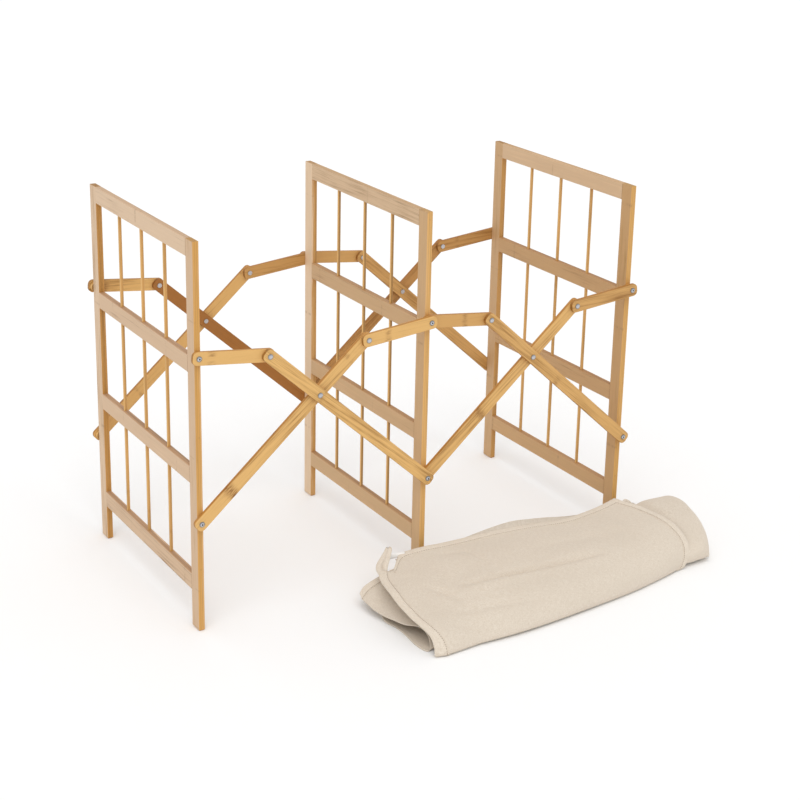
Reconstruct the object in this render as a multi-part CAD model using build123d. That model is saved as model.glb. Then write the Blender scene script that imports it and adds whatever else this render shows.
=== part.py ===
"""A folding two-bay laundry hamper frame in bamboo, with its cloth liner lying beside it.

Three ladder panels stand in a row along X. Scissor arms and short links on the front (-Y) and the
back (+Y) join each panel to the next, so both bays fold flat. The origin is on the floor under the
middle of the middle panel. Millimetres, +Z up.
"""

from build123d import *
import math
import os

# ---- Driving dimensions, mm ----

PANEL_HEIGHT = 620.0
PANEL_DEPTH = 405.0
PANEL_THICK = 10.0
STILE_WIDTH = 25.0
RAIL_HEIGHT = 27.0
RAIL_COUNT = 4
LOWEST_RAIL = 61.0
TENON_LENGTH = 8.0
TENON_THICK = 5.0
TENON_SHOULDER = 4.0
DOWEL_DIA = 5.5
DOWEL_COUNT = 3
DOWEL_BURIED = 10.0
EDGE_ROUND = 0.8
FOOT_CHAMFER = 1.6

ARM_LOWER = 264.0
ARM_UPPER = 113.2
LINK_LENGTH = 113.2
PIVOT_LOW = 181.5
PIVOT_HIGH = 444.5
BAR_WIDTH = 21.0
BAR_THICK = 6.2
BAR_END = 10.3
BAR_CORNER = 8.0
BAR_PLAY = 0.4
CUT_OVERRUN = 1.0

PIN_DIA = 4.0
PIN_CLEARANCE = 0.05
HEAD_DIA = 8.5
TAIL_DIA = 8.0
SCREW_HEAD = 2.2
RIVET_HEAD = 1.9
RIVET_TAIL = 1.2
HEAD_RIM = 0.8
HEAD_PLAY = 0.2
SCREW_BITE = 16.0
SOCKET_FLATS = 2.6
SOCKET_DEPTH = 1.2
SPACER_DIA = 16.0

LINER_OUTLINE = [(-130, -224), (-126, -442), (60, -450), (462, -378), (502, -300), (496, -224)]
LINER_CORNER = 22.0
LINER_BACK_THICK = 62.0
LINER_FRONT_THICK = 18.0
LINER_BACK_ROUND = 20.0

# ---- What follows from them ----

ARM_LENGTH = ARM_LOWER + ARM_UPPER
PIVOT_RISE = PIVOT_HIGH - PIVOT_LOW

# The arms and links close on each other at two arm angles, opened out and folded flat. Both sines
# are roots of one quadratic, square * s**2 - line * s + rest = 0, and the smaller root is the open one.
SQUARE_TERM = 4 * ARM_LOWER * ARM_UPPER
LINE_TERM = 2 * PIVOT_RISE * ARM_LENGTH
REST_TERM = (ARM_LOWER - ARM_UPPER) ** 2 + PIVOT_RISE**2 - LINK_LENGTH**2
ROOT_GAP = math.sqrt(LINE_TERM**2 - 4 * SQUARE_TERM * REST_TERM)
OPEN_ANGLE = math.asin((LINE_TERM - ROOT_GAP) / (2 * SQUARE_TERM))
FLAT_ANGLE = math.asin((LINE_TERM + ROOT_GAP) / (2 * SQUARE_TERM))

PANEL_PITCH = 2 * ARM_LOWER * math.cos(OPEN_ANGLE)
KNEE_RUN = ARM_LENGTH * math.cos(OPEN_ANGLE)
KNEE_RISE = ARM_LENGTH * math.sin(OPEN_ANGLE)
RAIL_PITCH = (PANEL_HEIGHT - RAIL_HEIGHT - LOWEST_RAIL) / (RAIL_COUNT - 1)
INNER_DEPTH = PANEL_DEPTH - 2 * STILE_WIDTH
STILE_FACE = PANEL_DEPTH / 2
BAR_PITCH = BAR_THICK + BAR_PLAY

PANEL_X = {"left": -PANEL_PITCH, "middle": 0.0, "right": PANEL_PITCH}
SIDES = {"front": -1, "back": 1}
BAYS = {"left": -1, "right": 1}


def write(shape, node):
    """Save one named sub-part."""
    export_step(shape, f"parts/{node}.step")


def layer_faces(layer):
    """Inner and outer face of a bar layer, measured outwards from the stile's face."""
    inner = BAR_PLAY + (layer - 1) * BAR_PITCH
    return inner, inner + BAR_THICK


def arm_layer(bay, side, reach):
    """Layer of a bar. Reach is 'middle' or 'end', the panel whose lower pivot its long arm uses.

    The linkage looks the same when the whole frame is turned half a turn about Z.
    """
    same = (bay == "left") == (side == "front")
    if reach == "middle":
        return 2 if same else 1
    return 1 if same else 2


def link_layer(bay, side, reach):
    """Layer of a short link: it lies on the other layer than the arm whose knee it holds."""
    other = "middle" if reach == "end" else "end"
    return 3 - arm_layer(bay, side, other)


# ---- Panels ----


def plain_stick(size_x, size_y, size_z):
    """A square-edged stick of wood, standing on z = 0."""
    return Box(size_x, size_y, size_z, align=(Align.CENTER, Align.CENTER, Align.MIN))


def rail_bottoms():
    return [LOWEST_RAIL + i * RAIL_PITCH for i in range(RAIL_COUNT)]


def tenon(length):
    """The rail's tongue, or with the same size the pocket that it fills."""
    return Box(TENON_THICK, length, RAIL_HEIGHT - 2 * TENON_SHOULDER)


def rail_middle(bottom):
    return bottom + RAIL_HEIGHT / 2


def stile(x, side):
    """One upright, with pockets for the rails' tenons and pilot holes for the pivot screws."""
    sign = SIDES[side]
    y = sign * (STILE_FACE - STILE_WIDTH / 2)
    upright = Pos(x, y, 0) * plain_stick(PANEL_THICK, STILE_WIDTH, PANEL_HEIGHT)
    upright = chamfer(upright.faces().sort_by(Axis.Z)[0].edges(), FOOT_CHAMFER)
    upright = fillet(upright.edges().filter_by(Axis.Z), EDGE_ROUND)
    upright = fillet(upright.faces().sort_by(Axis.Z)[-1].edges(), EDGE_ROUND / 2)
    pocket_y = sign * (STILE_FACE - STILE_WIDTH + TENON_LENGTH / 2)
    for bottom in rail_bottoms():
        upright -= Pos(x, pocket_y, rail_middle(bottom)) * tenon(TENON_LENGTH)
    for z in (PIVOT_LOW, PIVOT_HIGH):
        upright -= pin_between(x, z, sign, -SCREW_BITE, 0, PIN_DIA)
    return upright


def dowel_places():
    step = INNER_DEPTH / (DOWEL_COUNT + 1)
    return [(i + 1) * step - INNER_DEPTH / 2 for i in range(DOWEL_COUNT)]


def dowel_ends():
    low = LOWEST_RAIL + RAIL_HEIGHT - DOWEL_BURIED
    high = PANEL_HEIGHT - RAIL_HEIGHT + DOWEL_BURIED
    return low, high


def dowel(x, y):
    low, high = dowel_ends()
    rod = Cylinder(DOWEL_DIA / 2, high - low, align=(Align.CENTER, Align.CENTER, Align.MIN))
    return Pos(x, y, low) * rod


def rail(x, bottom):
    """One crosspiece with a tenon at each end and its three dowel holes."""
    piece = Pos(x, 0, bottom) * plain_stick(PANEL_THICK, INNER_DEPTH, RAIL_HEIGHT)
    piece = fillet(piece.edges().filter_by(Axis.Y), EDGE_ROUND)
    tongue = Pos(x, 0, rail_middle(bottom)) * tenon(INNER_DEPTH + 2 * TENON_LENGTH)
    piece = piece + tongue
    for y in dowel_places():
        piece -= dowel(x, y)
    return piece


# ---- Bars of the linkage ----


def pin_between(x, z, sign, inner, outer, diameter):
    """A round pin along Y at (x, z). Inner and outer are measured outwards from the stile's face."""
    middle = sign * (STILE_FACE + (inner + outer) / 2)
    return Pos(x, middle, z) * Rot(90, 0, 0) * Cylinder(diameter / 2, outer - inner)


def flat_bar(start, end, sign, layer, holes):
    """A flat bar between two pivots in the XZ plane, with its ends rounded over both pivots.

    Holes is a list of (x, z, diameter).
    """
    inner, outer = layer_faces(layer)
    run, rise = end[0] - start[0], end[1] - start[1]
    length = math.hypot(run, rise)
    outline = RectangleRounded(length + 2 * BAR_END, BAR_WIDTH, BAR_CORNER)
    bar = extrude(outline, BAR_THICK / 2, both=True)
    bar = fillet(bar.edges().filter_by(Axis.Z, reverse=True), EDGE_ROUND)
    bar = Rot(0, -math.degrees(math.atan2(rise, run)), 0) * Rot(90, 0, 0) * bar
    centre_x, centre_z = (start[0] + end[0]) / 2, (start[1] + end[1]) / 2
    bar = Pos(centre_x, sign * (STILE_FACE + (inner + outer) / 2), centre_z) * bar
    for x, z, diameter in holes:
        bar -= pin_between(x, z, sign, inner - CUT_OVERRUN, outer + CUT_OVERRUN, diameter)
    return bar


# ---- Screws, rivets and spacers ----


def button_head(height):
    """A low domed head on z = 0, with a short straight rim: a disc cut down by a large ball."""
    radius = HEAD_DIA / 2
    crown = height - HEAD_RIM
    ball = (radius**2 + crown**2) / (2 * crown)
    disc = Cylinder(radius, height, align=(Align.CENTER, Align.CENTER, Align.MIN))
    return disc & Pos(0, 0, height - ball) * Sphere(ball)


def outward(x, z, sign, offset):
    """A place on the outside of the linkage whose own +Z points away from the frame."""
    return Pos(x, sign * (STILE_FACE + offset), z) * Rot(-90 * sign, 0, 0)


def pivot_screw(x, z, sign, under_head):
    """A socket-head screw through the bars into the stile."""
    shank = pin_between(x, z, sign, -SCREW_BITE, under_head, PIN_DIA)
    socket = extrude(RegularPolygon(SOCKET_FLATS / 2, 6, major_radius=False), SOCKET_DEPTH)
    head = button_head(SCREW_HEAD) - Pos(0, 0, SCREW_HEAD - SOCKET_DEPTH) * socket
    return shank + outward(x, z, sign, under_head) * head


def rivet(x, z, sign, inner, outer, has_tail, has_head):
    """A round rivet between two planes, with a domed head outside and a flat tail inside."""
    body = pin_between(x, z, sign, inner, outer, PIN_DIA)
    if has_head:
        body = body + outward(x, z, sign, outer) * button_head(RIVET_HEAD)
    if has_tail:
        body = body + pin_between(x, z, sign, inner - RIVET_TAIL, inner, TAIL_DIA)
    return body


def half_rivet(x, z, sign, layer):
    """The part of a knee rivet that sits in one bar: the knee is where the linkage is opened."""
    inner, outer = layer_faces(layer)
    return rivet(x, z, sign, inner, outer, layer == 1, layer == 2)


def spacer(x, z, sign):
    """A wooden ring that fills the inner layer where a panel's bars lie on the outer one."""
    ring = pin_between(x, z, sign, 0, BAR_PITCH, SPACER_DIA)
    return ring - pin_between(x, z, sign, 0, BAR_PITCH, PIN_DIA)


# ---- The linkage of one bay on one side ----


def build_linkage(bay, side):
    """Two crossing arms and two short links, each with the rivets it carries."""
    toward_end, sign = BAYS[bay], SIDES[side]
    middle_x, end_x = 0.0, toward_end * PANEL_PITCH
    arms = {"middle": (middle_x, toward_end), "end": (end_x, -toward_end)}
    loose = PIN_DIA + 2 * PIN_CLEARANCE
    cross = (toward_end * PANEL_PITCH / 2, PIVOT_LOW + ARM_LOWER * math.sin(OPEN_ANGLE))
    for reach, (foot_x, direction) in arms.items():
        knee = (foot_x + direction * KNEE_RUN, PIVOT_LOW + KNEE_RISE)
        layer = arm_layer(bay, side, reach)
        cross_hole = PIN_DIA if reach == "middle" else loose
        holes = [(foot_x, PIVOT_LOW, loose), (*cross, cross_hole), (*knee, PIN_DIA)]
        arm = flat_bar((foot_x, PIVOT_LOW), knee, sign, layer, holes)
        write(arm, f"{bay}_{side}_{reach}_arm")
        rivets = [half_rivet(*knee, sign, layer)]
        if reach == "middle":
            inner, outer = layer_faces(1)[0] - HEAD_PLAY, layer_faces(2)[1] + HEAD_PLAY
            rivets.append(rivet(*cross, sign, inner, outer, True, True))
        write(Compound(rivets), f"{bay}_{side}_{reach}_arm_rivets")

        # The link from the other panel's upper pivot ends on this arm's knee.
        other = "end" if reach == "middle" else "middle"
        head_x = arms[other][0]
        layer = link_layer(bay, side, other)
        holes = [(head_x, PIVOT_HIGH, loose), (*knee, PIN_DIA)]
        link = flat_bar((head_x, PIVOT_HIGH), knee, sign, layer, holes)
        write(link, f"{bay}_{side}_{other}_link")
        write(half_rivet(*knee, sign, layer), f"{bay}_{side}_{other}_link_rivet")


# ---- The panels with their screws ----


def top_layer_at(panel, side):
    """The outermost bar layer on a panel's pivots: one bar or two lie on each screw."""
    if panel == "middle":
        return 2
    return arm_layer(panel, side, "end")


def build_panel(panel):
    x = PANEL_X[panel]
    for side in SIDES:
        write(stile(x, side), f"{panel}_{side}_stile")
    for number, bottom in enumerate(rail_bottoms(), 1):
        write(rail(x, bottom), f"{panel}_rail_{number}")
    write(Compound([dowel(x, y) for y in dowel_places()]), f"{panel}_dowels")

    screws, spacers = [], []
    for side, sign in SIDES.items():
        under_head = layer_faces(top_layer_at(panel, side))[1] + HEAD_PLAY
        for z in (PIVOT_LOW, PIVOT_HIGH):
            screws.append(pivot_screw(x, z, sign, under_head))
            if panel != "middle" and top_layer_at(panel, side) == 2:
                spacers.append(spacer(x, z, sign))
    write(Compound(screws), f"{panel}_screws")
    if spacers:
        write(Compound(spacers), f"{panel}_spacers")


# ---- The liner, taken off and folded on the floor ----


def build_liner():
    """A plain closed solid of the folded liner's outer shape, thickest along its back edge."""
    outline = make_face(Polyline(*LINER_OUTLINE, close=True))
    outline = fillet(outline.vertices(), LINER_CORNER)
    depths = [y for _, y in LINER_OUTLINE]
    front, back = min(depths), max(depths)
    widths = [x for x, _ in LINER_OUTLINE]
    corners = [(front, 0), (back, 0), (back, LINER_BACK_THICK), (front, LINER_FRONT_THICK)]
    section = make_face(Polyline(*corners, close=True))
    section = fillet(section.vertices().sort_by(Axis.Y)[-1], LINER_BACK_ROUND)
    length = max(widths) - min(widths)
    wedge = Pos((max(widths) + min(widths)) / 2, 0, 0) * extrude(Plane.YZ * section, length / 2, both=True)
    write(wedge & extrude(outline, LINER_BACK_THICK + CUT_OVERRUN), "liner")


def main():
    os.makedirs("parts", exist_ok=True)
    for panel in PANEL_X:
        build_panel(panel)
    for bay in BAYS:
        for side in SIDES:
            build_linkage(bay, side)
    build_liner()
    print("panel pitch", round(PANEL_PITCH, 3))
    print("open and flat arm angles", math.degrees(OPEN_ANGLE), math.degrees(FLAT_ANGLE))
    print("knee at", round(KNEE_RUN, 3), round(PIVOT_LOW + KNEE_RISE, 3))


main()
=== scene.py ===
"""A folding two-bay bamboo laundry hamper frame, with its cloth liner taken off and folded beside it.

Metres, +Z up. The panels stand in a row along X and the liner lies in front of them, towards -Y.
"""

import bmesh
import bpy
import math
import random
from mathutils import Matrix, Vector, noise


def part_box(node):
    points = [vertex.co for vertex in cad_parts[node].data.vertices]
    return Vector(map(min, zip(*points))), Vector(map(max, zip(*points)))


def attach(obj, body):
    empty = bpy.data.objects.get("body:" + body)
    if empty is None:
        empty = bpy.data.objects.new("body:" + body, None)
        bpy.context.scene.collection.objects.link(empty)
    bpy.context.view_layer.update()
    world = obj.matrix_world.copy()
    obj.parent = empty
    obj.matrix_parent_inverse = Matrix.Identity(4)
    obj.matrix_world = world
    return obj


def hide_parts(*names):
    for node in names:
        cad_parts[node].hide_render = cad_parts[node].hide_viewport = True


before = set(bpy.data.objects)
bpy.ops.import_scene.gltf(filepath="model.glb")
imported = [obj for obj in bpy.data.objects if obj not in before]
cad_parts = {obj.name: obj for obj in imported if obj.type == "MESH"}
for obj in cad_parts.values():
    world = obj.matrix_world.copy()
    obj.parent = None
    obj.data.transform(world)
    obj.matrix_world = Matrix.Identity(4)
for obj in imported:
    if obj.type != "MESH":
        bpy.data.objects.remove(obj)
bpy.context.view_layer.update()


# ---- Stiles ----
# Each panel has two uprights of laminated bamboo: three thin strips glued into a flat stick. The wide
# faces show the pale inside of the strips under a painted pale sheen of light, and the narrow ones the golden
# edges with their glue lines.


class Wire:
    """A node socket used as a number or a vector. Every node of a finish comes from its add()."""

    def __init__(self, tree, socket=None):
        self.tree = tree
        self.socket = socket

    def add(self, kind, settings=None, sockets=None, output=0):
        """A new node: its settings are set first, and then its sockets' values or links."""
        node = self.tree.nodes.new(kind)
        for name, value in (settings or {}).items():
            setattr(node, name, value)
        for name, value in (sockets or {}).items():
            socket = node.inputs[name]
            if isinstance(value, Wire):
                self.tree.links.new(value.socket, socket)
            elif socket.type == "VECTOR" and isinstance(value, (int, float)):
                socket.default_value = (value, value, value)
            elif socket.type == "RGBA" and len(value) == 3:
                socket.default_value = (*value, 1.0)
            else:
                socket.default_value = value
        return Wire(self.tree, node.outputs[output])

    def maths(self, operation, *operands, output=0):
        """A Vector Math node if any operand is a vector, and otherwise a Math node."""
        wires = [o for o in operands if isinstance(o, Wire)]
        vectors = any(w.socket.type == "VECTOR" for w in wires)
        kind = "ShaderNodeVectorMath" if vectors else "ShaderNodeMath"
        return self.add(kind, {"operation": operation}, dict(enumerate(operands)), output)

    def __add__(self, other):
        return self.maths("ADD", self, other)

    __radd__ = __add__

    def __sub__(self, other):
        return self.maths("SUBTRACT", self, other)

    def __rsub__(self, other):
        return self.maths("SUBTRACT", other, self)

    def __mul__(self, other):
        return self.maths("MULTIPLY", self, other)

    def __truediv__(self, other):
        return self.maths("DIVIDE", self, other)

    def __abs__(self):
        return self.maths("ABSOLUTE", self)

    def dot(self, direction):
        return self.maths("DOT_PRODUCT", self, tuple(direction), output=1)

    def floor(self):
        return self.maths("FLOOR", self)

    def fraction(self):
        return self.maths("FRACT", self)

    def step(self, low, high):
        """0 below low and 1 above high, with a smooth rise between. High may be the lower one."""
        return self.add(
            "ShaderNodeMapRange",
            {"interpolation_type": "SMOOTHSTEP"},
            {"Value": self, "From Min": low, "From Max": high},
        )

    def noise(self, scale, detail=2.0, roughness=0.5):
        sockets = {"Vector": self, "Scale": scale, "Detail": detail, "Roughness": roughness}
        return self.add("ShaderNodeTexNoise", None, sockets)

    def between(self, first, second):
        """A colour mixed from two, with this wire as the factor."""
        return self.add("ShaderNodeMix", {"data_type": "RGBA"}, {0: self, 6: first, 7: second}, output=2)


# The outputs of a Texture Coordinate node that the finishes use.
NORMAL_OUTPUT, OBJECT_OUTPUT = 1, 3


def new_finish(name):
    """A material with an empty shader, and the wire that its nodes start from."""
    material = bpy.data.materials.new(name)
    material.use_nodes = True
    return material, Wire(material.node_tree)


def set_shader(material, linked, fixed):
    """Fills the shader's sockets: linked from wires, and fixed with values that are the same all over."""
    shader = material.node_tree.nodes["Principled BSDF"]
    for name, wire in linked.items():
        material.node_tree.links.new(wire.socket, shader.inputs[name])
    for name, value in fixed.items():
        shader.inputs[name].default_value = value


def paint(node, material):
    """Gives one of the model's own parts its finish."""
    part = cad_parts[node]
    part.data.materials.clear()
    part.data.materials.append(material)


def rgb(red, green, blue):
    """A display colour, 0 to 255, as the linear colour that a shader takes."""
    parts = [c / 255 for c in (red, green, blue)]
    return tuple(c / 12.92 if c <= 0.04045 else ((c + 0.055) / 1.055) ** 2.4 for c in parts)


def darker(color, share):
    return tuple(c * share for c in color)


def blended(first, second, share):
    return tuple(a + (b - a) * share for a, b in zip(first, second))


def bamboo(name, grain, face, edge_at, strip, colors, node, seed):
    """Laminated bamboo. The grain runs along one direction and face is square to the wide faces.

    edge_at is where the first strip starts along face. Colors are those of the wide faces and of the
    edges, and node is the colour, the spacing, the length and the strength of the culm's joints.
    """
    wide_color, edge_color = colors
    node_color, node_spacing, node_length, node_strength = node
    material, start = new_finish(name)
    grain, face = Vector(grain), Vector(face)
    side = grain.cross(face)
    place = start.add("ShaderNodeTexCoord", output=OBJECT_OUTPUT)
    normal = start.add("ShaderNodeTexCoord", output=NORMAL_OUTPUT)
    along, across = place.dot(grain), place.dot(side)
    depth = place.dot(face) - edge_at

    layer = (depth / strip).floor()
    layer_tone = layer.add("ShaderNodeTexWhiteNoise", {"noise_dimensions": "1D"}, {1: layer + seed})
    glue = abs((depth / strip + 0.5).fraction() - 0.5).step(0.09, 0.01)

    def streaks(length, width, detail):
        """Noise drawn out along the grain."""
        sockets = {0: along / length + seed, 1: across / width + layer_tone * 9.0, 2: depth / width}
        return start.add("ShaderNodeCombineXYZ", None, sockets).noise(1.0, detail, 0.6)

    fibres = streaks(0.045, 0.0011, 3.0)
    bundles = streaks(0.16, 0.0042, 2.0)
    clouds = streaks(0.12, 0.03, 1.0)

    # Wide faces and edges get their own colours. This is partly the strips' real difference and partly
    # painted light, with one side lit and the other in painted shade.
    is_wide = abs(normal.dot(face)).step(0.5, 0.9)
    is_end = abs(normal.dot(grain)).step(0.6, 0.95)
    color = is_wide.between(edge_color, wide_color)
    tint = (fibres - 0.5) * 0.40 + (bundles - 0.5) * 0.46 + (clouds - 0.5) * 0.3
    tint = tint + (layer_tone - 0.5) * 0.22
    color = tint.step(0.02, 0.30).between(color, darker(edge_color, 0.62))
    color = tint.step(-0.02, -0.34).between(color, darker(wide_color, 1.13))
    color = (glue * (1.0 - is_wide) * 0.7).between(color, darker(edge_color, 0.42))

    # A culm's joint crosses each strip as a dark smudge, drawn out along the fibres. No two are alike:
    # each has its own length and darkness, and some hardly show.
    culm = along / node_spacing + layer_tone * 3.7 + seed * 0.37
    each = start.add("ShaderNodeTexWhiteNoise", {"noise_dimensions": "1D"}, {1: culm.floor() + seed})
    ragged = (bundles - 0.5) * 0.6 + (streaks(0.02, 0.006, 1.0) - 0.5) * 0.8
    away = abs(culm.fraction() - 0.5) * node_spacing / node_length + ragged
    smudge = away.step(0.45 + each, 0.0) * streaks(0.012, 0.0013, 2.0).step(0.30, 0.66)
    smudge = smudge * (0.4 + each * 0.6) * streaks(0.3, 0.011, 0.0).step(0.33, 0.52) * node_strength
    color = smudge.between(color, node_color)

    # Cut ends show the dark dots of the fibre bundles.
    dots = start.add("ShaderNodeTexVoronoi", None, {"Vector": place, "Scale": 900.0})
    pores = is_end * (0.35 + dots.step(0.45, 0.2) * 0.5)
    color = pores.between(color, darker(edge_color, 0.42))

    relief = fibres * 0.6 + bundles * 0.4 - smudge * 0.5 - glue * 0.6
    bump = start.add("ShaderNodeBump", None, {"Strength": 0.35, "Distance": 0.0002, "Height": relief})
    roughness = 0.46 + fibres * 0.16 + smudge * 0.1
    set_shader(
        material,
        {"Base Color": color, "Roughness": roughness, "Normal": bump},
        {"Coat Weight": 0.05, "Coat Roughness": 0.35, "Specular IOR Level": 0.32},
    )
    return material


UP, ALONG, OUTWARD = Vector((0, 0, 1)), Vector((1, 0, 0)), Vector((0, 1, 0))
PANELS = ("left", "middle", "right")

# The panels' wide faces are palest on the left and most golden on the right. This is painted light that falls
# off along the row, with a painted pale sheen over the wide faces' own colour.
PANEL_WIDE_AND_PAINTED_LIGHT = {"left": rgb(209, 177, 143), "middle": rgb(200, 164, 120), "right": rgb(196, 156, 108)}
PANEL_EDGE = {"left": rgb(208, 156, 84), "middle": rgb(217, 168, 100), "right": rgb(208, 159, 90)}
PALE_BAMBOO = rgb(228, 202, 172)
BACK_PALENESS = {"left": 0.4, "middle": 0.75, "right": 0.15}
PANEL_JOINT = rgb(146, 112, 80)
BROWN_BAMBOO = rgb(152, 92, 32)
STILE_STRIP = 0.01 / 3
JOINT_SPACING = 0.215


def panel_bamboo(panel, name, grain, edge_color, paleness, seed):
    colors = (blended(PANEL_WIDE_AND_PAINTED_LIGHT[panel], PALE_BAMBOO, paleness), edge_color)
    edge_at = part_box(f"{panel}_rail_1")[0].x
    node = (PANEL_JOINT, JOINT_SPACING, 0.0028, 0.6)
    return bamboo(name, grain, ALONG, edge_at, STILE_STRIP, colors, node, seed)


for number, panel in enumerate(PANELS):
    for side in ("front", "back"):
        seed = 3.1 * number + (1.7 if side == "back" else 0.4)
        brownness, paleness = (0.35, BACK_PALENESS[panel]) if side == "back" else (0.0, 0.0)
        edge_color = blended(PANEL_EDGE[panel], BROWN_BAMBOO, brownness)
        finish = panel_bamboo(panel, f"{panel}_{side}_stile_bamboo", UP, edge_color, paleness, seed)
        paint(f"{panel}_{side}_stile", finish)


# ---- Rails ----
# Four crosspieces join each pair of stiles with hidden tenons. They are the same laminated bamboo,
# with the grain running from stile to stile.

for number, panel in enumerate(PANELS):
    for rail in range(1, 5):
        # Painted light: rail 4, the top one, is paler all over, lit from above. The edges of rails 1 to 3 are
        # browner, painted shade between the rails.
        edge_color = blended(PANEL_WIDE_AND_PAINTED_LIGHT[panel], BROWN_BAMBOO, 0.15 if rail == 4 else 0.5)
        seed = 11.3 + 2.3 * number + 0.9 * rail
        paleness = 0.45 if rail == 4 else 0.05
        finish = panel_bamboo(panel, f"{panel}_rail_{rail}_bamboo", OUTWARD, edge_color, paleness, seed)
        paint(f"{panel}_rail_{rail}", finish)


# ---- Dowels ----
# Three thin round rods run from the lowest rail up through the middle rails into the top one. They
# are turned from solid bamboo, so darker fibre bundles run the whole length of each.

# Painted light: surfaces that face along the row take the lighter colour, and surfaces that face front or
# back take the darker one, as painted shade.
DOWEL_LIT_AND_SHADED_SIDES = (rgb(222, 177, 112), rgb(205, 155, 90))

for number, panel in enumerate(PANELS):
    node = (rgb(150, 98, 48), 0.31, 0.006, 0.6)
    finish = bamboo(f"{panel}_dowel_bamboo", UP, ALONG, 0.0, 0.05, DOWEL_LIT_AND_SHADED_SIDES, node, 5.3 + number)
    paint(f"{panel}_dowels", finish)


# ---- Spacers ----
# Small turned rings sit behind the bars where only the outer layer meets a stile, and keep the bars
# parallel to the panel. The grain runs through the ring.

spacer_node = (rgb(140, 90, 45), 0.4, 0.002, 0.2)
# The spacers share the dowels' painted light, lighter on the sides that face along the row and darker, in
# painted shade, elsewhere.
spacer_bamboo = bamboo("spacer_bamboo", OUTWARD, ALONG, 0.0, 0.02, DOWEL_LIT_AND_SHADED_SIDES, spacer_node, 2.2)
for panel in ("left", "right"):
    paint(f"{panel}_spacers", spacer_bamboo)


# ---- Arms and links ----
# Flat bars with rounded ends make the scissors of each bay, front and back: two long arms cross, and
# a short link runs from each panel's upper pivot to an arm's end. The grain follows each bar.

# The bars' edge colour is darker than their faces. This is partly the bamboo's golden edges and partly
# painted shade on the narrow sides.
BAR_FACE, BAR_EDGE_AND_SHADE, BAR_JOINT = rgb(225, 180, 112), rgb(188, 132, 62), rgb(124, 74, 28)
BAR_STRIP = 0.0031

# How brown each bar's bamboo is. The others keep the usual straw colour.
BROWN_BARS = {
    "left_front_end_link": 0.08,
    "right_front_middle_link": 0.32,
    "right_front_end_link": 0.3,
    "right_front_end_arm": 0.2,
    "right_front_middle_arm": 0.1,
    "left_back_middle_arm": 0.9,
    "left_back_end_arm": 0.15,
    "left_back_end_link": 0.04,
    "left_back_middle_link": 0.45,
    "right_back_middle_arm": 0.6,
    "right_back_end_arm": 0.33,
    "right_back_middle_link": 0.34,
    "right_back_end_link": 0.52,
}


def bar_direction(node):
    """The way that a bar points, worked out from the two ends of its mesh."""
    corners = [v.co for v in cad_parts[node].data.vertices]
    first = min(corners, key=lambda c: c.x)
    last = max(corners, key=lambda c: c.x)
    return Vector((last.x - first.x, 0, last.z - first.z)).normalized()


bar_number = 0
for bay in ("left", "right"):
    for side in ("front", "back"):
        for kind in ("middle_arm", "end_arm", "middle_link", "end_link"):
            bar_number += 1
            node = f"{bay}_{side}_{kind}"
            brown = BROWN_BARS.get(node, 0.02 * (bar_number % 4))
            colors = (blended(BAR_FACE, BROWN_BAMBOO, brown), blended(BAR_EDGE_AND_SHADE, BROWN_BAMBOO, brown))
            joint = (darker(BAR_JOINT, 1.0 - 0.4 * brown), 0.27, 0.011, 1.0)
            edge_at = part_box(node)[0].y
            name, grain, seed = f"{node}_bamboo", bar_direction(node), 1.37 * bar_number
            finish = bamboo(name, grain, OUTWARD, edge_at, BAR_STRIP, colors, joint, seed)
            paint(node, finish)


# ---- Screws and rivets ----
# A socket screw holds each pair of bars to a stile, and domed rivets join the bars at the crossings
# and the knees. All are steel with a bright nickel finish, faintly scuffed by handling.


SOCKET_REACH = 0.0014
LOW_PIVOT, HIGH_PIVOT = 0.1815, 0.4445


def nickel(name, color, roughness, socket_x=None):
    """Bright plating, with painted shade round the rim. Socket_x is where a panel's screws have sockets,
    which get painted shade.
    """
    material, start = new_finish(name)
    place = start.add("ShaderNodeTexCoord", output=OBJECT_OUTPUT)
    normal = start.add("ShaderNodeTexCoord", output=NORMAL_OUTPUT)
    # Painted shade: the heads darken round their rims, where the dome turns away from the light.
    rim_shade = abs(normal.dot(OUTWARD)).step(0.975, 0.86)
    scuffs = place.noise(2600.0, 4.0, 0.7)
    smears = place.noise(420.0, 2.0, 0.5)
    tint = (smears * 0.6 + scuffs * 0.4).step(0.3, 0.75)
    bump = start.add("ShaderNodeBump", None, {"Strength": 0.12, "Distance": 0.0001, "Height": scuffs})
    shaded_plating = (rim_shade * 0.75).between(tint.between(color, darker(color, 0.8)), darker(color, 0.22))
    if socket_x is not None:
        # Painted shade in the screws' recessed sockets, almost black.
        sideways = abs(place.dot(ALONG) - socket_x)
        half_rise = (HIGH_PIVOT - LOW_PIVOT) / 2
        upward = abs(abs(place.dot(UP) - (LOW_PIVOT + half_rise)) - half_rise)
        socket_shade = (sideways * sideways + upward * upward).step(SOCKET_REACH**2, SOCKET_REACH**2 * 0.6)
        shaded_plating = socket_shade.between(shaded_plating, darker(color, 0.05))
    set_shader(
        material,
        {"Base Color": shaded_plating, "Roughness": roughness + scuffs * 0.16, "Normal": bump},
        {"Metallic": 1.0},
    )
    return material


rivet_nickel = nickel("rivet_nickel", rgb(204, 204, 208), 0.2)
for panel in PANELS:
    middle_x = sum(corner.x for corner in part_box(f"{panel}_rail_1")) / 2
    screw_nickel = nickel(f"{panel}_screw_nickel", rgb(216, 217, 221), 0.18, middle_x)
    paint(f"{panel}_screws", screw_nickel)
for bay in ("left", "right"):
    for side in ("front", "back"):
        for reach in ("middle", "end"):
            paint(f"{bay}_{side}_{reach}_arm_rivets", rivet_nickel)
            paint(f"{bay}_{side}_{reach}_link_rivet", rivet_nickel)


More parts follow.
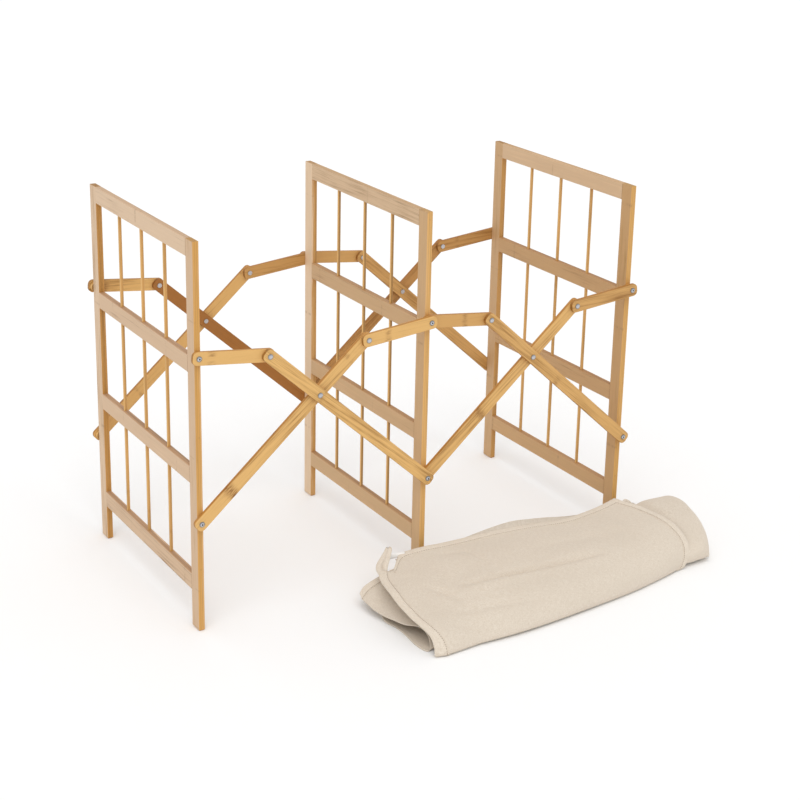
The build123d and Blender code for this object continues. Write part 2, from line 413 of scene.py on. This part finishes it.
# ---- Liner: the cloth ----
# The liner is sewn from a plain-woven cotton and linen cloth in its natural colour. Thick and thin
# threads make short pale and dark slubs both ways, and the surface has a soft, dry look.

MM = 0.001


def liner_cloth(name, tone=1.0):
    """Natural cloth. The weave follows the pattern piece, whose UVs are in metres."""
    material, start = new_finish(name)
    weave = start.add("ShaderNodeUVMap", {"uv_map": "cut"})
    place = start.add("ShaderNodeTexCoord", output=OBJECT_OUTPUT)

    def threads(length, width):
        return (weave * (1 / length, 1 / width, 1.0)).noise(1.0, 2.0, 0.6)

    warp, weft = threads(0.007, 0.0008), threads(0.0008, 0.007)
    slubs = threads(0.012, 0.0012) * 0.5 + threads(0.0012, 0.010) * 0.5
    specks = weave.noise(900.0, 1.0, 0.5)
    soft = place.noise(14.0, 2.0, 0.5)
    pale, mid, dark = (darker(rgb(*c), tone) for c in ((222, 211, 196), (210, 197, 180), (184, 167, 145)))
    tint = warp * 0.5 + weft * 0.5
    color = tint.step(0.40, 0.62).between(mid, pale)
    color = (slubs.step(0.54, 0.68) * 0.34).between(color, dark)
    color = (specks.step(0.58, 0.70) * 0.42).between(color, dark)
    color = (soft.step(0.35, 0.75) * 0.25).between(color, darker(mid, 0.94))
    relief = warp * 0.4 + weft * 0.4 + slubs * 0.5
    bump = start.add("ShaderNodeBump", None, {"Strength": 0.5, "Distance": 0.0005, "Height": relief})
    set_shader(
        material,
        {"Base Color": color, "Roughness": 0.82 + tint * 0.16, "Normal": bump},
        {"Sheen Weight": 0.15, "Sheen Roughness": 0.5, "Specular IOR Level": 0.25},
    )
    return material


cloth = liner_cloth("liner_cloth_natural")
tape_cloth = liner_cloth("liner_tape_natural", 1.05)


def smooth_line(points, count):
    """Count points evenly spaced along a soft curve through a few given ones, in millimetres."""
    given = [Vector(p) for p in points]
    given = [2 * given[0] - given[1], *given, 2 * given[-1] - given[-2]]
    dense = []
    for a, b, c, d in zip(given, given[1:], given[2:], given[3:]):
        for i in range(24):
            t = i / 24
            square, cube = 2 * a - 5 * b + 4 * c - d, 3 * b - a - 3 * c + d
            dense.append(0.5 * (2 * b + (c - a) * t + square * t**2 + cube * t**3))
    dense.append(given[-2])
    travelled = [0.0]
    for a, b in zip(dense, dense[1:]):
        travelled.append(travelled[-1] + (b - a).length)
    line, at = [], 0
    for i in range(count):
        goal = travelled[-1] * i / (count - 1)
        while at < len(dense) - 2 and travelled[at + 1] < goal:
            at += 1
        span = travelled[at + 1] - travelled[at]
        line.append(dense[at].lerp(dense[at + 1], (goal - travelled[at]) / span if span else 0.0))
    return line


def length_of(line):
    return sum((b - a).length for a, b in zip(line, line[1:]))


def patch(first, last, start, end):
    """A grid of points stretched between four edge curves. First and last run along, start and end across."""
    rows, columns = len(start), len(first)
    grid = []
    for j in range(rows):
        v = j / (rows - 1)
        row = []
        for i in range(columns):
            u = i / (columns - 1)
            lengthways = first[i].lerp(last[i], v) + start[j].lerp(end[j], u)
            corners = first[0].lerp(last[0], v).lerp(first[-1].lerp(last[-1], v), u)
            row.append(lengthways - corners)
        grid.append(row)
    return grid


def ruffle(point, height, seed):
    """Soft uneven waves that run mostly along the folded liner, in millimetres."""
    slow = Vector((point.x / 130, point.y / 42, point.z / 60 + seed))
    quick = Vector((point.x / 48, point.y / 20, point.z / 40 + seed + 7))
    return height * (0.75 * noise.noise(slow) + 0.25 * noise.noise(quick))


def grid_piece(name, grid, size, material, thickness, closed=False):
    """A cloth piece from a grid of points in millimetres, with UVs of its cut size in metres."""
    rows, columns = len(grid), len(grid[0])
    sheet = bmesh.new()
    dots = [[sheet.verts.new(p * MM) for p in row] for row in grid]
    uv = sheet.loops.layers.uv.new("cut")
    for j in range(rows if closed else rows - 1):
        for i in range(columns - 1):
            k = (j + 1) % rows
            face = sheet.faces.new((dots[j][i], dots[j][i + 1], dots[k][i + 1], dots[k][i]))
            face.smooth = True
            for loop, (p, q) in zip(face.loops, ((i, j), (i + 1, j), (i + 1, j + 1), (i, j + 1))):
                loop[uv].uv = (size[1] * p / (columns - 1), size[0] * q / (rows - 1))
    mesh = bpy.data.meshes.new(name)
    sheet.to_mesh(mesh)
    sheet.free()
    mesh.materials.append(material)
    piece = bpy.data.objects.new(name, mesh)
    bpy.context.scene.collection.objects.link(piece)
    if thickness:
        solid = piece.modifiers.new("cloth thickness", "SOLIDIFY")
        solid.thickness = thickness
        solid.offset = 0.0
    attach(piece, "liner")
    return piece


CLOTH_THICK = 0.0012


# ---- Liner: the top layer ----
# One wide panel of the liner lies over the bundle. Its hemmed edge lies along the back, it slopes to
# the front, and there it folds under itself in a soft round bend.

TOP_BACK = [(-108, -250, 57), (-99, -257, 57), (-91, -262, 57), (-80, -252, 58), (-68, -237, 59)]
TOP_BACK += [(-52, -222, 61), (-30, -221, 63), (-2, -224, 65), (30, -228, 66), (126, -230, 67)]
TOP_BACK += [(184, -232, 65), (253, -237, 62), (300, -235, 64), (345, -229, 67), (381, -219, 69)]
TOP_RIGHT = [(381, -219, 69), (403, -267, 67), (416, -313, 63), (422, -345, 54), (423, -368, 39)]
TOP_RIGHT += [(417, -380, 22), (405, -384, 5), (398, -372, 1.8), (390, -340, 1.8)]
TOP_LEFT = [(-108, -250, 57), (-119, -275, 54), (-127, -316, 51), (-130, -362, 45), (-127, -402, 38)]
TOP_LEFT += [(-120, -427, 27), (-120, -441, 14), (-122, -446, 4), (-110, -434, 1.8), (-84, -395, 1.8)]
TOP_UNDER = [(-84, -395, 1.8), (50, -400, 1.8), (220, -376, 1.8), (390, -340, 1.8)]
TOP_COLUMNS, TOP_ROWS = 130, 84

# How far the whole layer bows towards the front, and how far along it the bow ends.
BOW_DEPTH, BOW_SPAN = 11.5, 1.04

top_grid = patch(
    smooth_line(TOP_BACK, TOP_COLUMNS),
    smooth_line(TOP_UNDER, TOP_COLUMNS),
    smooth_line(TOP_LEFT, TOP_ROWS),
    smooth_line(TOP_RIGHT, TOP_ROWS),
)

# Long shallow folds: start and end in plan, depth and half width.
LONG_FOLDS = [
    ((-14, -344), (116, -350), -7.6, 5.0),
    ((60, -350), (245, -354), -6.8, 5),
    ((-20, -359), (240, -366), 2.2, 9),
    ((-68, -325), (-34, -372), -4.2, 6),
    ((-60, -394), (95, -412), -4.2, 6),
    ((-10, -250), (50, -268), -4.4, 5),
    ((46, -262), (56, -305), -3.4, 6),
    ((-86, -418), (-10, -430), -3.0, 5),
    ((120, -300), (360, -312), -1.8, 12),
    ((150, -392), (340, -358), -2.0, 9),
    ((-96, -268), (-50, -290), 2.6, 9),
]


def fold_height(point):
    """How far the listed folds lift or sink the cloth at a point."""
    total = 0.0
    for start, end, depth, half_width in LONG_FOLDS:
        a, b, p = Vector(start), Vector(end), point.xy
        run = b - a
        t = min(1.0, max(0.0, (p - a).dot(run) / run.length_squared))
        away = (p - (a + run * t)).length / half_width
        taper = math.sin(math.pi * (0.12 + 0.76 * t))
        total += depth * taper * math.exp(-away * away)
    return total


def settled(row, rows):
    """0 at the floor under the piece and 1 well above it, so that waves fade out below."""
    return min(1.0, max(0.0, (0.80 - row / rows) * 6))


for j, row in enumerate(top_grid):
    crown = math.sin(math.pi * min(1.0, j / (TOP_ROWS * 0.86)))
    for i, point in enumerate(row):
        ends = math.sin(math.pi * i / (TOP_COLUMNS - 1)) ** 0.5 if 0 < i < TOP_COLUMNS - 1 else 0.0
        lift = crown * ends * 3.5 + (ruffle(point, 3.0, 1.0) + fold_height(point)) * crown
        shade = settled(j, TOP_ROWS)
        point.z = max(1.6, point.z + lift * shade)
        point.y -= ruffle(point, 3.0, 4.0) * ends * (1.0 - abs(2 * j / TOP_ROWS - 1.3)) * shade
        bow = max(0.0, math.sin(math.pi * BOW_SPAN * i / (TOP_COLUMNS - 1))) ** 0.7
        point.y -= BOW_DEPTH * bow * math.sin(math.pi * (j / TOP_ROWS) ** 1.3)

top_width = length_of([row[TOP_COLUMNS // 2] for row in top_grid]) * MM
top_length = length_of(top_grid[TOP_ROWS // 3]) * MM
top_layer = grid_piece("liner_top_layer", top_grid, (top_width, top_length), cloth, CLOTH_THICK)
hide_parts("liner")


# ---- Liner: hem tape and stitching ----
# The cut edges are bound with folded tape of the same cloth, about 14 mm wide, sewn down along its
# inner edge. The stitches are plain brown thread.

TAPE_WIDTH = 14.0
STITCH_LINE, STITCH_PITCH, STITCH_LIFT = 12.4, 2.9, 1.7

# Each point of the tape's section: how far into the cloth, and how high above it.
TAPE_SECTION = [(-1.0, 0.0), (-0.6, 1.4), (1.2, 2.1), (6.0, 1.9), (10.8, 2.0), (12.4, 1.35), (13.5, 1.9)]
TAPE_SECTION += [(14.1, 0.0), (13.4, -1.2), (12.4, -1.0), (6.0, -1.2), (-0.6, -1.2)]

# A flared tape widens over the rest of its length from here.
FLARE_START = 0.6

# How many points of the cloth's grid a tape follows inwards.
HEM_DEPTH = 9

seam_line = []


def walked(line, distance):
    """The point at a distance along a line, and the way that the line runs there."""
    left = distance
    for a, b in zip(line, line[1:]):
        span = (b - a).length
        if left <= span:
            break
        left -= span
    way = (b - a).normalized()
    return a + way * left, way


def tape(name, lines, sign=1.0, flare=0.0):
    """Hem tape round a cloth edge. Each line runs from the edge into the cloth, over its surface."""
    count = len(lines)
    edge = [line[0] for line in lines]
    rings = []
    for i, line in enumerate(lines):
        ahead = (edge[min(i + 1, count - 1)] - edge[max(i - 1, 0)]).normalized()
        wider = 1 + flare * max(0.0, i / (count - 1) - FLARE_START) ** 2
        ring = []
        for w, n in TAPE_SECTION:
            spot, way = walked(line, w * wider)
            ring.append(spot + ahead.cross(way).normalized() * n * sign)
        rings.append(ring)
        spot, way = walked(line, STITCH_LINE * wider)
        normal = ahead.cross(way).normalized() * sign
        seam_line.append((name, spot + normal * STITCH_LIFT, normal))
    grid = [list(column) for column in zip(*rings)]
    piece = grid_piece(name, grid, (2 * TAPE_WIDTH * MM, length_of(edge) * MM), tape_cloth, None, closed=True)
    cap_ends(piece, len(TAPE_SECTION), count)
    return piece


def cap_ends(piece, around, count):
    """Closes both ends of a tube of cloth that was made by grid_piece."""
    tube = bmesh.new()
    tube.from_mesh(piece.data)
    tube.verts.ensure_lookup_table()
    for column in (0, count - 1):
        ring = [tube.verts[k * count + column] for k in range(around)]
        tube.faces.new(ring)
    bmesh.ops.recalc_face_normals(tube, faces=tube.faces)
    tube.to_mesh(piece.data)
    tube.free()


def hem_lines(grid, rows, columns, step_row, step_column):
    """Lines over the cloth from each edge point inwards."""
    steps = range(HEM_DEPTH)
    return [[grid[j + k * step_row][i + k * step_column] for k in steps] for j in rows for i in columns]


back_tape = tape("liner_back_hem", hem_lines(top_grid, [0], range(7, TOP_COLUMNS), 1, 0), -1.0)
hem_rows = range(int(TOP_ROWS * 0.88))
right_tape = tape("liner_right_hem", hem_lines(top_grid, hem_rows, [TOP_COLUMNS - 1], 0, -1), -1.0)
left_tape = tape("liner_left_hem", hem_lines(top_grid, hem_rows, [0], 0, 1), 1.0, flare=6.0)


# ---- Liner: the layer under the left end ----
# Another panel of the bundle sticks out at the left. It is folded like a flat tube, open at its end,
# so its upper leaf, its round front fold and its lower leaf on the floor all show.

OPEN_END = [(-141, -247, 21), (-143, -262, 16), (-141, -286, 14), (-136, -312, 14), (-131, -338, 16)]
OPEN_END += [(-124, -364, 19), (-115, -386, 21), (-112, -404, 14), (-116, -420, 5), (-124, -424, 1.2)]
OPEN_END += [(-129, -400, 1.2), (-126, -364, 1.2), (-127, -337, 1.2), (-133, -312, 3), (-128, -292, 8)]
HIDDEN_END = [(-30, -238, 52), (-30, -270, 50), (-28, -300, 46), (-28, -330, 41), (-26, -360, 35)]
HIDDEN_END += [(-26, -392, 26), (-26, -412, 18), (-26, -424, 9), (-26, -424, 3), (-26, -414, 1.2)]
HIDDEN_END += [(-26, -396, 1.2), (-26, -364, 1.2), (-26, -336, 1.2), (-26, -312, 1.2), (-26, -292, 3)]
UNDER_COLUMNS, UNDER_ROWS = 44, 90

UNDER_BACK = [OPEN_END[0], (-128, -241, 29), (-106, -240, 38), (-70, -238, 47), HIDDEN_END[0]]
UNDER_INNER = [OPEN_END[-1], (-90, -296, 5), HIDDEN_END[-1]]

under_grid = patch(
    smooth_line(UNDER_BACK, UNDER_COLUMNS),
    smooth_line(UNDER_INNER, UNDER_COLUMNS),
    smooth_line(OPEN_END, UNDER_ROWS),
    smooth_line(HIDDEN_END, UNDER_ROWS),
)
for row in under_grid:
    for point in row:
        sway = min(1.0, point.z / 12)
        point.z = max(1.2, point.z + ruffle(point, 3.6, 9.0) * sway)
        point.x += ruffle(point, 3.0, 13.0) * sway

under_width = length_of([row[0] for row in under_grid]) * MM
under_length = length_of(under_grid[UNDER_ROWS // 3]) * MM
under_layer = grid_piece("liner_under_layer", under_grid, (under_width, under_length), cloth, CLOTH_THICK)
under_tape = tape("liner_under_hem", hem_lines(under_grid, [0], range(30), 1, 0), -1.0)


# ---- Liner: the folded bundle ----
# Below the top layer the rest of the liner lies to and fro in six leaves, bent round at the back and
# at the front. The leaves get thinner towards the front, where the weight of the cloth presses them.

LEAVES = 6
BUNDLE_LEFT, BUNDLE_RIGHT = -62.0, 420.0
BUNDLE_COLUMNS, LEAF_POINTS, BEND_POINTS = 70, 16, 7


def bundle_top(y):
    """Height of the bundle's upper face: highest at the back, and falling to the front."""
    t = min(1.0, max(0.0, (-229 - y) / 190))
    return 61.5 * (1 - 0.25 * t - 0.44 * t**3)


def crest(x, y):
    """The top leaf stands up a little along the middle of its back edge."""
    return 20 * math.exp(-(((x - 155) / 105) ** 2)) * math.exp(-(((y + 223) / 8.5) ** 2))


def bundle_section(x, share):
    """The zigzag of the leaves at one place along the bundle, from the top leaf down."""
    section = []
    front_edge = -400 + 34 * max(0.0, share - 0.35) + 100 * max(0.0, share - 0.8)
    front_edge -= 10 * math.sin(math.pi * share)
    for leaf in range(LEAVES):
        uneven = noise.noise(Vector((x / 90, leaf * 3.1, 0.7)))
        back = -223 if leaf == 0 else -229 + 3.5 * uneven - 1.5 * leaf
        front = front_edge + 7 * noise.noise(Vector((x / 70, leaf * 2.3, 5.1)))
        forwards = leaf % 2 == 0
        ends = (back, front) if forwards else (front, back)
        for k in range(LEAF_POINTS):
            y = ends[0] + (ends[1] - ends[0]) * k / (LEAF_POINTS - 1)
            level = (LEAVES - leaf - 0.5) / LEAVES
            level += 0.05 * noise.noise(Vector((x / 60, y / 35, leaf * 1.9)))
            lift = crest(x, y) if leaf == 0 else 0.0
            section.append(Vector((x, y, max(1.2, 1.0 + (bundle_top(y) - 3.0) * level + lift))))
        if leaf < LEAVES - 1:
            y = ends[1]
            bulge = (-1 if forwards else 1) * 0.5 * bundle_top(y) / LEAVES
            upper = (LEAVES - leaf - 0.5) / LEAVES
            for k in range(1, BEND_POINTS):
                turn = math.pi * k / BEND_POINTS
                level = upper - (1 - math.cos(turn)) / 2 / LEAVES
                height = 1.0 + (bundle_top(y) - 3.0) * level
                section.append(Vector((x, y + bulge * math.sin(turn), height)))
    return section


sections = []
for i in range(BUNDLE_COLUMNS):
    share = i / (BUNDLE_COLUMNS - 1)
    sections.append(bundle_section(BUNDLE_LEFT + (BUNDLE_RIGHT - BUNDLE_LEFT) * share, share))
bundle_grid = [list(row) for row in zip(*sections)]
bundle_width = length_of(sections[BUNDLE_COLUMNS // 2]) * MM
bundle_length = (BUNDLE_RIGHT - BUNDLE_LEFT) * MM
bundle = grid_piece("liner_bundle", bundle_grid, (bundle_width, bundle_length), cloth, CLOTH_THICK)


# ---- Liner: the rolled right end ----
# At the right the cloth is turned in on itself to a soft rounded end, which sticks out past the hem
# of the top layer. It is highest at the back and slants to the front.

ROLL_LEFT, ROLL_RIGHT = 330.0, 510.0
ROLL_COLUMNS, ROLL_AROUND = 60, 72
ROLL_BACK, ROLL_FRONT = -221.0, -385.0
ROLL_ROUND = 23.0


def roll_point(share, turn):
    """A point on the rolled end: share runs along it, and turn goes round its section."""
    middle, reach = (ROLL_BACK + ROLL_FRONT) / 2, (ROLL_BACK - ROLL_FRONT) / 2
    across, up = math.cos(turn), math.sin(turn)
    blunt = 0.95 if across < 0 < up else 0.45
    y = middle + reach * math.copysign(abs(across) ** blunt, across)
    forward = (ROLL_BACK - y) / (ROLL_BACK - ROLL_FRONT)
    right = ROLL_RIGHT - 40 * forward**2 - 9 * forward**16 - 10 * (1 - forward) ** 9
    x = ROLL_LEFT + (right - ROLL_LEFT) * share
    closing = max(0.0, (x - (right - ROLL_ROUND)) / ROLL_ROUND)
    thick = math.sqrt(max(0.0, 1 - closing**2.8))
    clear = 1 / (1 + math.exp(-(x - 424 - 12 * forward**2) / 4))
    tall = (63.5 - 17 * forward**1.9) * (0.88 + 0.12 * clear - 0.12 * (1 - clear) * forward**3)
    level = 0.5 + 0.5 * math.copysign(abs(up) ** blunt, up)
    seam = 0.34 - 0.2 * forward
    z = 1.3 + tall * (seam + (level - seam) * thick)
    return Vector((x, middle + (y - middle) * (1 - 0.04 * closing**2), z))


roll_grid = []
for j in range(ROLL_AROUND):
    turn = 2 * math.pi * j / ROLL_AROUND
    row = []
    for i in range(ROLL_COLUMNS):
        share = (i / (ROLL_COLUMNS - 1)) ** 0.75
        point = roll_point(share, turn)
        wave = ruffle(Vector((point.y * 1.3, point.x * 0.75, point.z)), 3.2, 21.0) * min(1.0, point.z / 30)
        point.z = max(1.2, point.z + wave)
        point.x += ruffle(point, 4.0, 25.0) * share
        row.append(point)
    roll_grid.append(row)
roll_around = length_of([row[0] for row in roll_grid] + [roll_grid[0][0]]) * MM
roll_length = length_of(roll_grid[ROLL_AROUND // 4]) * MM
roll = grid_piece("liner_rolled_end", roll_grid, (roll_around, roll_length), cloth, None, closed=True)


# ---- Liner: strap, loop and blank tag ----
# The tape of the left hem runs on past the corner as a short strap that curls up. A small loop of the
# same tape peeps out behind the right corner, and a blank white tag is caught in the back hem.


def band(name, line, wide, width, thick, material, waist=0.0):
    """A flat band along a line. Wide is the direction of its width, and waist narrows its middle."""
    count = len(line)
    rings = []
    for i, point in enumerate(line):
        t = i / (count - 1)
        ahead = (line[min(i + 1, count - 1)] - line[max(i - 1, 0)]).normalized()
        way = (Vector(wide) - ahead * Vector(wide).dot(ahead)).normalized()
        normal = ahead.cross(way)
        half, flat = width / 2 * (1 - waist * math.sin(math.pi * t)), thick / 2
        section = [(-half, 0), (-half * 0.9, flat), (0, flat * 0.85), (half * 0.9, flat), (half, 0)]
        section += [(half * 0.9, -flat), (0, -flat * 0.85), (-half * 0.9, -flat)]
        rings.append([point + way * w + normal * n for w, n in section])
    grid = [list(column) for column in zip(*rings)]
    piece = grid_piece(name, grid, (2 * width * MM, length_of(line) * MM), material, None, closed=True)
    cap_ends(piece, 8, count)
    return piece


STRAP = [(-110, -264, 57), (-108, -250, 59), (-101, -239, 62), (-91, -231, 66), (-82, -225, 71)]
STRAP += [(-76, -221, 75), (-73, -220, 77), (-73, -223, 76), (-78, -229, 71), (-87, -238, 65)]
STRAP += [(-96, -247, 59), (-102, -255, 56)]
STRAP_WIDE, EDGE_WIDE = (0.86, -0.5, 0.05), (0.2, 0.3, 0.9)
strap = band("liner_strap", smooth_line(STRAP, 56), STRAP_WIDE, 11.5, 2.2, tape_cloth, 0.34)
LOOP = [(388, -246, 58), (389, -238, 63), (392, -232, 66), (398, -232, 66), (402, -238, 62), (403, -246, 57)]
loop = band("liner_corner_loop", smooth_line(LOOP, 26), EDGE_WIDE, 8.0, 2.0, tape_cloth)

tag_white, start = new_finish("tag_satin")
tag_weave = start.add("ShaderNodeTexCoord", output=OBJECT_OUTPUT).noise(1800.0, 2.0, 0.6)
tag_bump = start.add("ShaderNodeBump", None, {"Strength": 0.2, "Distance": 0.0002, "Height": tag_weave})
tag_color = tag_weave.between(rgb(246, 244, 241), rgb(232, 229, 225))
tag_linked = {"Base Color": tag_color, "Roughness": 0.5 + tag_weave * 0.2, "Normal": tag_bump}
set_shader(tag_white, tag_linked, {"Sheen Weight": 0.1})
TAG = [(-46, -226, 62), (-56, -224, 62), (-66, -224, 62), (-78, -226, 63)]
tag = band("liner_tag", smooth_line(TAG, 16), EDGE_WIDE, 7.5, 0.7, tag_white)

# Every stitch is a tiny pillow of thread. The seed keeps their slight unevenness the same each time.
thread, start = new_finish("liner_thread")
twist = start.add("ShaderNodeTexCoord", output=OBJECT_OUTPUT).noise(3000.0, 1.0, 0.5)
thread_color = twist.between(rgb(150, 124, 96), rgb(118, 94, 70))
set_shader(thread, {"Base Color": thread_color, "Roughness": 0.7 + twist * 0.2}, {})
dice = random.Random(7)
sewing = bmesh.new()
stitch_places = []
for (hem, a, normal), (next_hem, b, _) in zip(seam_line, seam_line[1:]):
    if hem == next_hem:
        room = max(1, round((b - a).length / STITCH_PITCH))
        stitch_places += [(a.lerp(b, (k + 0.5) / room), (b - a).normalized(), normal) for k in range(room)]
for place, ahead, normal in stitch_places:
    lean = (ahead + normal.cross(ahead) * dice.uniform(-0.12, 0.12)).normalized()
    turn = Matrix((lean, normal.cross(lean), normal)).transposed().to_4x4()
    size = Matrix.Diagonal((2.4 * dice.uniform(0.9, 1.1), 0.8, 0.6, 1.0))
    matrix = Matrix.Translation(place * MM) @ turn @ size @ Matrix.Scale(MM, 4)
    bmesh.ops.create_icosphere(sewing, subdivisions=1, radius=0.5, matrix=matrix)
stitch_mesh = bpy.data.meshes.new("liner_stitches")
sewing.to_mesh(stitch_mesh)
sewing.free()
stitch_mesh.materials.append(thread)
stitches = bpy.data.objects.new("liner_stitches", stitch_mesh)
bpy.context.scene.collection.objects.link(stitches)
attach(stitches, "liner")


# ---- Studio ----
# A wide pale floor, an even white sky, and one broad soft lamp from the front left.

SKY_STRENGTH = 0.78
LAMP_STRENGTH, LAMP_SPREAD = 1.1, math.radians(50)
LAMP_FROM = Vector((-0.35, -0.75, 1.3))

half = 30.0
floor_mesh = bpy.data.meshes.new("floor")
floor_corners = [(-half, -half, 0), (half, -half, 0), (half, half, 0), (-half, half, 0)]
floor_mesh.from_pydata(floor_corners, [], [(0, 1, 2, 3)])
floor_white, start = new_finish("floor_white")
floor_tint = start.add("ShaderNodeTexCoord", output=OBJECT_OUTPUT).noise(0.7, 2.0, 0.5)
set_shader(
    floor_white,
    {"Base Color": floor_tint.between((0.97, 0.97, 0.97), (0.95, 0.95, 0.95))},
    {"Roughness": 0.9, "Specular IOR Level": 0.1},
)
floor_mesh.materials.append(floor_white)
floor = bpy.data.objects.new("floor", floor_mesh)
bpy.context.scene.collection.objects.link(floor)

world = bpy.data.worlds.new("studio")
world.use_nodes = True
world.node_tree.nodes["Background"].inputs["Color"].default_value = (1.0, 1.0, 1.0, 1.0)
world.node_tree.nodes["Background"].inputs["Strength"].default_value = SKY_STRENGTH
bpy.context.scene.world = world

sun = bpy.data.lights.new("soft_lamp", "SUN")
sun.energy = LAMP_STRENGTH
sun.angle = LAMP_SPREAD
lamp = bpy.data.objects.new("soft_lamp", sun)
lamp.rotation_euler = LAMP_FROM.to_track_quat("Z", "Y").to_euler()
bpy.context.scene.collection.objects.link(lamp)


# ---- Camera ----
# The camera stands in front and to the left, a little above the frame, and is rolled by one degree.

CAMERA_PLACE = (-1.3591, -2.3815, 1.2602)
CAMERA_AZIMUTH, CAMERA_ELEVATION, CAMERA_ROLL = (math.radians(a) for a in (-30.30, 18.30, 1.01))
camera_data = bpy.data.cameras.new("camera")
camera_data.sensor_width = 36.0
camera_data.lens = 77.2
camera_data.shift_x = 0.025
camera_data.shift_y = -0.075
camera = bpy.data.objects.new("camera", camera_data)
behind = Vector((math.sin(CAMERA_AZIMUTH), -math.cos(CAMERA_AZIMUTH), math.tan(CAMERA_ELEVATION)))
behind.normalize()
level = UP.cross(behind).normalized()
above = behind.cross(level)
right = level * math.cos(CAMERA_ROLL) + above * math.sin(CAMERA_ROLL)
top = above * math.cos(CAMERA_ROLL) - level * math.sin(CAMERA_ROLL)
turned = Matrix((right, top, behind)).transposed().to_4x4()
camera.matrix_world = Matrix.Translation(CAMERA_PLACE) @ turned
bpy.context.scene.collection.objects.link(camera)
bpy.context.scene.camera = camera
bpy.context.scene.view_settings.view_transform = "Standard"
